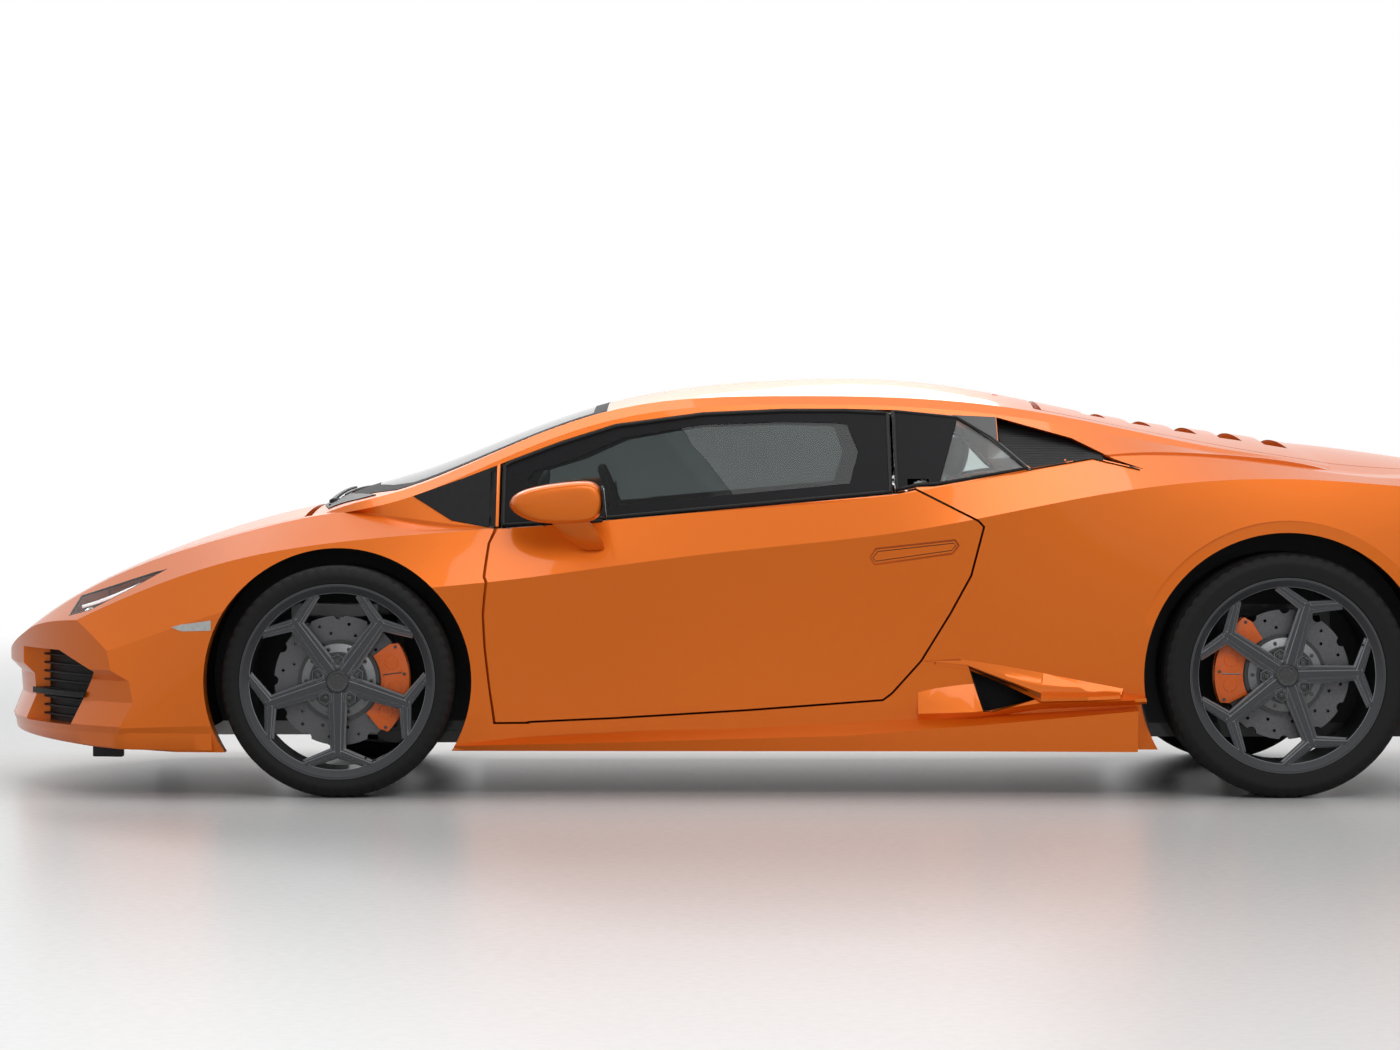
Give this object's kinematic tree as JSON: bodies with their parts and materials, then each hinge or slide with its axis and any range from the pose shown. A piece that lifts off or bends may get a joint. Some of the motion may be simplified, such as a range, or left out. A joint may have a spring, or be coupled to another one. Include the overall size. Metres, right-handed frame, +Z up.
{
  "type": "two-seat mid-engined sports coupe",
  "caption": "Low two-seat mid-engined coupe with opening doors, front lid and engine cover, steered front wheels and rolling wheels.",
  "frame": {"origin": "on the ground, below the middle of the car's length and width", "axes": "+X towards the nose, +Y towards the car's left side, +Z up"},
  "size_m": [4.459, 2.09, 1.1678],
  "materials": {
    "paint": "gloss",
    "black_trim": "matt",
    "black_mesh": "matt",
    "glass": "tinted, clear",
    "lamp_glass": "clear",
    "red_lamp": "gloss",
    "tub": "carbon fibre, satin",
    "seat": "satin",
    "dash": "matt",
    "aluminium": "satin",
    "engine": "satin",
    "exhaust": "satin",
    "tyre": "matt",
    "rim": "satin graphite",
    "disc": "machined",
    "caliper": "gloss"
  },
  "bodies": {
    "body": {"tub": "tub", "front_frame": "aluminium", "wheel_liners": "black_trim", "front_bumper": "paint", "front_wings": "paint", "roof": "paint", "rear_quarters": "paint", "rear_bumper": "paint", "diffuser": "black_trim", "sills": "paint", "windscreen": "glass", "quarter_windows": "glass", "headlamps": "lamp_glass", "tail_lamps": "red_lamp", "front_grilles": "black_mesh", "rear_mesh": "black_mesh", "engine": "engine", "seats": "seat", "dashboard": "dash", "front_arms": "aluminium", "rear_suspension": "aluminium", "rear_calipers": "caliper", "exhausts": "exhaust"},
    "front_lid": {"front_lid": "paint"},
    "engine_cover": {"engine_cover": "paint"},
    "steering_wheel": {"steering_wheel": "dash"},
    "left_door": {"left_door": "paint", "left_door_glass": "glass", "left_mirror": "paint"},
    "left_knuckle": {"left_knuckle": "aluminium", "front_left_caliper": "caliper"},
    "front_left_wheel": {"front_left_tyre": "tyre", "front_left_rim": "rim", "front_left_brake_disc": "disc"},
    "rear_left_wheel": {"rear_left_tyre": "tyre", "rear_left_rim": "rim", "rear_left_brake_disc": "disc"},
    "right_door": {"right_door": "paint", "right_door_glass": "glass", "right_mirror": "paint"},
    "right_knuckle": {"right_knuckle": "aluminium", "front_right_caliper": "caliper"},
    "front_right_wheel": {"front_right_tyre": "tyre", "front_right_rim": "rim", "front_right_brake_disc": "disc"},
    "rear_right_wheel": {"rear_right_tyre": "tyre", "rear_right_rim": "rim", "rear_right_brake_disc": "disc"}
  },
  "joints": [
    {"name": "left_door_hinge", "type": "hinge", "parent": "body", "child": "left_door", "pos_m": [0.735, 0.83, 0.49], "axis": [0, 0, -1], "range_deg": [0, 62]},
    {"name": "right_door_hinge", "type": "hinge", "parent": "body", "child": "right_door", "pos_m": [0.735, -0.83, 0.49], "axis": [0, 0, 1], "range_deg": [0, 62]},
    {"name": "front_lid_hinge", "type": "hinge", "parent": "body", "child": "front_lid", "pos_m": [1.347, 0, 0.77294], "axis": [0, -1, 0], "range_deg": [0, 60]},
    {"name": "engine_cover_hinge", "type": "hinge", "parent": "body", "child": "engine_cover", "pos_m": [-0.789, 0, 1.0763], "axis": [0, 1, 0], "range_deg": [0, 50]},
    {"name": "left_steer", "type": "hinge", "parent": "body", "child": "left_knuckle", "pos_m": [1.2095, 0.768, 0.321], "axis": [0, 0, 1], "range_deg": [-32, 32]},
    {"name": "right_steer", "type": "hinge", "parent": "body", "child": "right_knuckle", "pos_m": [1.2095, -0.768, 0.321], "axis": [0, 0, 1], "range_deg": [-32, 32]},
    {"name": "steering_wheel_turn", "type": "hinge", "parent": "body", "child": "steering_wheel", "pos_m": [0.43, 0.372, 0.752], "axis": [-0.9336, 0, 0.3584], "range_deg": [-435.2, 435.2]},
    {"name": "front_left_spin", "type": "hinge", "parent": "left_knuckle", "child": "front_left_wheel", "pos_m": [1.2095, 0.815, 0.321], "axis": [0, 1, 0], "continuous": true},
    {"name": "rear_left_spin", "type": "hinge", "parent": "body", "child": "rear_left_wheel", "pos_m": [-1.4105, 0.796, 0.338], "axis": [0, 1, 0], "continuous": true},
    {"name": "front_right_spin", "type": "hinge", "parent": "right_knuckle", "child": "front_right_wheel", "pos_m": [1.2095, -0.815, 0.321], "axis": [0, 1, 0], "continuous": true},
    {"name": "rear_right_spin", "type": "hinge", "parent": "body", "child": "rear_right_wheel", "pos_m": [-1.4105, -0.796, 0.338], "axis": [0, 1, 0], "continuous": true}
  ],
  "couplings": [
    {"joint": "right_steer", "follows": "left_steer", "ratio": 1},
    {"joint": "steering_wheel_turn", "follows": "left_steer", "ratio": 13.6}
  ]
}
